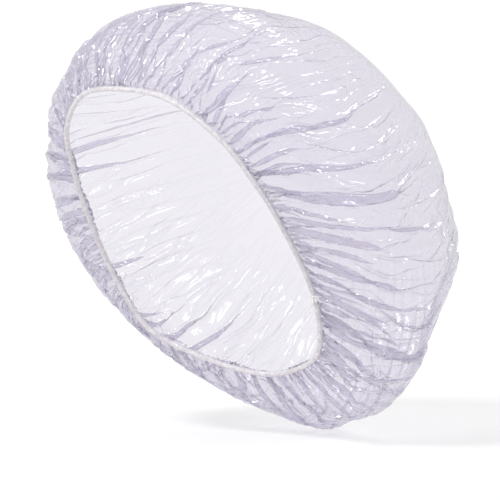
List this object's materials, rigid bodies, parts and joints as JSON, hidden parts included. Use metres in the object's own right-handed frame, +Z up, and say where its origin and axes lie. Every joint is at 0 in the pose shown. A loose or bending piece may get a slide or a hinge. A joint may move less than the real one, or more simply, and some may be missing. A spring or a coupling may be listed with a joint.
{
  "type": "shower cap",
  "caption": "Bouffant shower cap of thin clear film, gathered on a narrow elastic hem round a tilted oval head opening, in its worn shape.",
  "frame": {"origin": "centre of the oval head opening, midway between its forehead and nape edges", "axes": "+Z up as on an upright head, -Y towards the wearer's face, +X to the wearer's left; the opening's plane slopes 52.4 degrees down from forehead to nape"},
  "size_m": [0.2585, 0.2528, 0.2695],
  "materials": {
    "clear_film": "clear, wrinkled, glossy",
    "hem_film": "gathered layers, milky",
    "elastic_yarn": "matt",
    "elastic_rubber": "matt"
  },
  "bodies": {
    "root": {"film_crown": "clear_film", "hem_casing": "hem_film", "hem_seal": "hem_film", "elastic_core": "elastic_rubber", "elastic_cover": "elastic_yarn", "elastic_knot": "elastic_yarn", "elastic_tail_front": "elastic_yarn", "elastic_tail_back": "elastic_yarn"}
  },
  "joints": []
}
